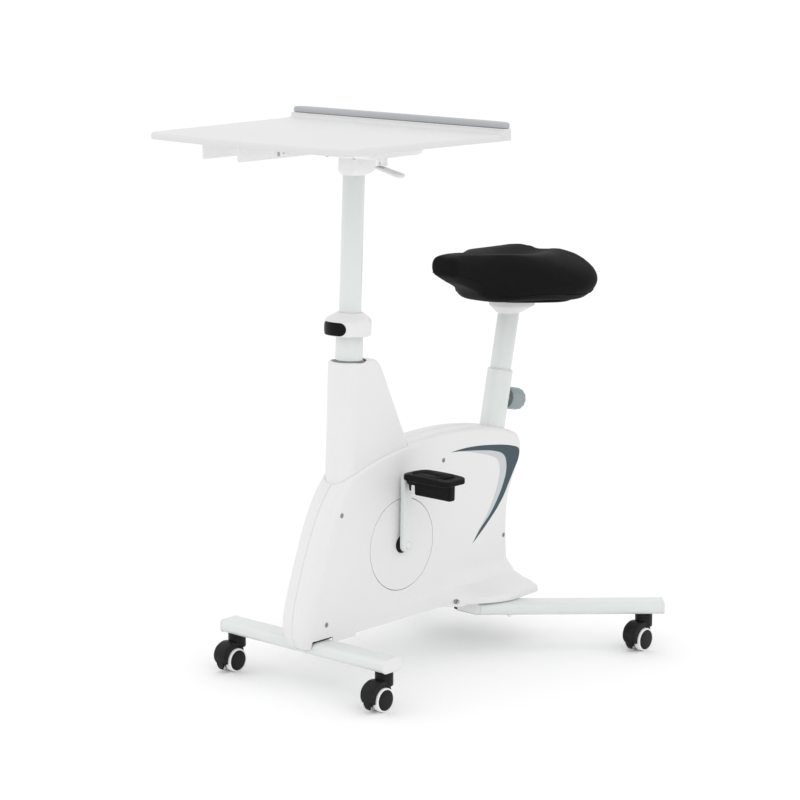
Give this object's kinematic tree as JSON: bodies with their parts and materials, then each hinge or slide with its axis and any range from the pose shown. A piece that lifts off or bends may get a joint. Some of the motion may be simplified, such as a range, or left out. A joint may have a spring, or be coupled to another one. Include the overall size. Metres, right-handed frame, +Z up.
{
  "type": "desk exercise bike",
  "caption": "Pedal unit with a saddle and a desk on a sliding post, on a front bar and two splayed rear legs with swivel casters.",
  "frame": {"origin": "on the floor, under the middle of the overall box", "axes": "+Z up; the rider sits facing -Y, where the desk is; +X is the rider's left"},
  "size_m": [0.843, 1.0604, 1.2792],
  "materials": {
    "white_plastic": "moulded, satin",
    "white_paint": "powder coat, satin",
    "black_plastic": "moulded, satin",
    "black_cover": "moulded cover, matt",
    "grey_rubber": "soft, matt",
    "knob_plastic": "moulded, satin",
    "steel": "bright",
    "black_rubber": "matt"
  },
  "bodies": {
    "base": {"front_bar": "white_paint", "front_bar_cap_left": "white_plastic", "front_bar_cap_right": "white_plastic", "rear_leg_left": "white_paint", "rear_leg_right": "white_paint", "rear_leg_cap_left": "white_plastic", "rear_leg_cap_right": "white_plastic", "main_frame": "white_paint", "post_outer_tube": "white_paint", "post_collar": "white_plastic", "seat_outer_tube": "white_paint", "housing_left": "white_plastic", "housing_right": "white_plastic", "column_cover": "white_plastic", "crank_cover_left": "white_plastic", "crank_cover_right": "white_plastic", "crank_seal_left": "black_rubber", "crank_seal_right": "black_rubber", "bearing_left": "steel", "bearing_right": "steel", "magnet_bracket": "steel", "gas_spring_cylinder": "steel", "drive_belt": "black_rubber"},
    "crank": {"crank_axle": "steel", "crank_left": "white_paint", "crank_right": "white_paint", "drive_pulley": "black_plastic"},
    "pedal_left": {"pedal_left": "black_plastic"},
    "pedal_right": {"pedal_right": "black_plastic"},
    "flywheel": {"flywheel": "steel"},
    "desk_post": {"post_inner_tube": "white_paint", "head_bracket": "white_paint", "gas_spring_rod": "steel", "carriage": "white_paint"},
    "height_lever": {"height_lever": "white_plastic"},
    "desk": {"tabletop": "white_plastic", "wrist_pad": "grey_rubber", "slide_channel": "white_paint"},
    "seat": {"seat_inner_tube": "white_paint", "saddle_clamp": "white_plastic", "saddle_pan": "black_plastic", "saddle_cushion": "black_cover"},
    "seat_knob": {"seat_knob": "knob_plastic"},
    "caster_front_left": {"caster_front_left_hood": "black_plastic"},
    "caster_front_left_wheel_left": {"caster_front_left_wheel_left": "black_plastic"},
    "caster_front_left_wheel_right": {"caster_front_left_wheel_right": "black_plastic"},
    "caster_front_left_brake": {"caster_front_left_brake": "black_plastic"},
    "caster_front_right": {"caster_front_right_hood": "black_plastic"},
    "caster_front_right_wheel_left": {"caster_front_right_wheel_left": "black_plastic"},
    "caster_front_right_wheel_right": {"caster_front_right_wheel_right": "black_plastic"},
    "caster_front_right_brake": {"caster_front_right_brake": "black_plastic"},
    "caster_rear_left": {"caster_rear_left_hood": "black_plastic"},
    "caster_rear_left_wheel_left": {"caster_rear_left_wheel_left": "black_plastic"},
    "caster_rear_left_wheel_right": {"caster_rear_left_wheel_right": "black_plastic"},
    "caster_rear_left_brake": {"caster_rear_left_brake": "black_plastic"},
    "caster_rear_right": {"caster_rear_right_hood": "black_plastic"},
    "caster_rear_right_wheel_left": {"caster_rear_right_wheel_left": "black_plastic"},
    "caster_rear_right_wheel_right": {"caster_rear_right_wheel_right": "black_plastic"},
    "caster_rear_right_brake": {"caster_rear_right_brake": "black_plastic"}
  },
  "joints": [
    {"name": "desk_height", "type": "slide", "parent": "base", "child": "desk_post", "axis": [0, 0.0448, 0.999], "range_m": [-0.25, 0]},
    {"name": "height_lever_lift", "type": "hinge", "parent": "desk_post", "child": "height_lever", "pos_m": [0.08, -0.16245, 1.1837], "axis": [0, -1, 0], "range_deg": [0, 15], "stiffness_Nm_per_rad": 0.1, "springref_deg": -17.19},
    {"name": "desk_slide", "type": "slide", "parent": "desk_post", "child": "desk", "axis": [0, 1, 0], "range_m": [0, 0.12]},
    {"name": "seat_height", "type": "slide", "parent": "base", "child": "seat", "axis": [0, 0.2164, 0.9763], "range_m": [-0.12, 0.04]},
    {"name": "seat_knob_pull", "type": "slide", "parent": "base", "child": "seat_knob", "axis": [0, 0.9763, -0.2164], "range_m": [0, 0.008], "stiffness_N_per_m": 800, "springref_m": -0.006},
    {"name": "flywheel_spin", "type": "hinge", "parent": "base", "child": "flywheel", "pos_m": [0, 0.1315, 0.3], "axis": [1, 0, 0], "continuous": true},
    {"name": "crank_spin", "type": "hinge", "parent": "base", "child": "crank", "pos_m": [0, -0.0582, 0.2932], "axis": [1, 0, 0], "continuous": true},
    {"name": "pedal_left_spin", "type": "hinge", "parent": "crank", "child": "pedal_left", "pos_m": [0.1, -0.0582, 0.4482], "axis": [1, 0, 0], "continuous": true},
    {"name": "pedal_right_spin", "type": "hinge", "parent": "crank", "child": "pedal_right", "pos_m": [-0.1, -0.0582, 0.1382], "axis": [1, 0, 0], "continuous": true},
    {"name": "caster_front_left_swivel", "type": "hinge", "parent": "base", "child": "caster_front_left", "pos_m": [0.23, -0.3235, 0.09], "axis": [0, 0, 1], "continuous": true},
    {"name": "caster_front_left_wheel_left_spin", "type": "hinge", "parent": "caster_front_left", "child": "caster_front_left_wheel_left", "pos_m": [0.24455, -0.3425, 0.0275], "axis": [1, 0, 0], "continuous": true},
    {"name": "caster_front_left_wheel_right_spin", "type": "hinge", "parent": "caster_front_left", "child": "caster_front_left_wheel_right", "pos_m": [0.21545, -0.3425, 0.0275], "axis": [1, 0, 0], "continuous": true},
    {"name": "caster_front_left_brake_press", "type": "hinge", "parent": "caster_front_left", "child": "caster_front_left_brake", "pos_m": [0.23, -0.3733, 0.02317], "axis": [1, 0, 0], "range_deg": [0, 15]},
    {"name": "caster_front_right_swivel", "type": "hinge", "parent": "base", "child": "caster_front_right", "pos_m": [-0.23, -0.3235, 0.09], "axis": [0, 0, 1], "continuous": true},
    {"name": "caster_front_right_wheel_left_spin", "type": "hinge", "parent": "caster_front_right", "child": "caster_front_right_wheel_left", "pos_m": [-0.21545, -0.3425, 0.0275], "axis": [1, 0, 0], "continuous": true},
    {"name": "caster_front_right_wheel_right_spin", "type": "hinge", "parent": "caster_front_right", "child": "caster_front_right_wheel_right", "pos_m": [-0.24455, -0.3425, 0.0275], "axis": [1, 0, 0], "continuous": true},
    {"name": "caster_front_right_brake_press", "type": "hinge", "parent": "caster_front_right", "child": "caster_front_right_brake", "pos_m": [-0.23, -0.3733, 0.02317], "axis": [1, 0, 0], "range_deg": [0, 15]},
    {"name": "caster_rear_left_swivel", "type": "hinge", "parent": "base", "child": "caster_rear_left", "pos_m": [0.36765, 0.44317, 0.09], "axis": [0, 0, 1], "continuous": true},
    {"name": "caster_rear_left_wheel_left_spin", "type": "hinge", "parent": "caster_rear_left", "child": "caster_rear_left_wheel_left", "pos_m": [0.3822, 0.42417, 0.0275], "axis": [1, 0, 0], "continuous": true},
    {"name": "caster_rear_left_wheel_right_spin", "type": "hinge", "parent": "caster_rear_left", "child": "caster_rear_left_wheel_right", "pos_m": [0.3531, 0.42417, 0.0275], "axis": [1, 0, 0], "continuous": true},
    {"name": "caster_rear_left_brake_press", "type": "hinge", "parent": "caster_rear_left", "child": "caster_rear_left_brake", "pos_m": [0.36765, 0.39337, 0.02317], "axis": [1, 0, 0], "range_deg": [0, 15]},
    {"name": "caster_rear_right_swivel", "type": "hinge", "parent": "base", "child": "caster_rear_right", "pos_m": [-0.36765, 0.44317, 0.09], "axis": [0, 0, 1], "continuous": true},
    {"name": "caster_rear_right_wheel_left_spin", "type": "hinge", "parent": "caster_rear_right", "child": "caster_rear_right_wheel_left", "pos_m": [-0.3531, 0.42417, 0.0275], "axis": [1, 0, 0], "continuous": true},
    {"name": "caster_rear_right_wheel_right_spin", "type": "hinge", "parent": "caster_rear_right", "child": "caster_rear_right_wheel_right", "pos_m": [-0.3822, 0.42417, 0.0275], "axis": [1, 0, 0], "continuous": true},
    {"name": "caster_rear_right_brake_press", "type": "hinge", "parent": "caster_rear_right", "child": "caster_rear_right_brake", "pos_m": [-0.36765, 0.39337, 0.02317], "axis": [1, 0, 0], "range_deg": [0, 15]}
  ],
  "couplings": [
    {"joint": "crank_spin", "follows": "flywheel_spin", "ratio": 0.1875}
  ]
}
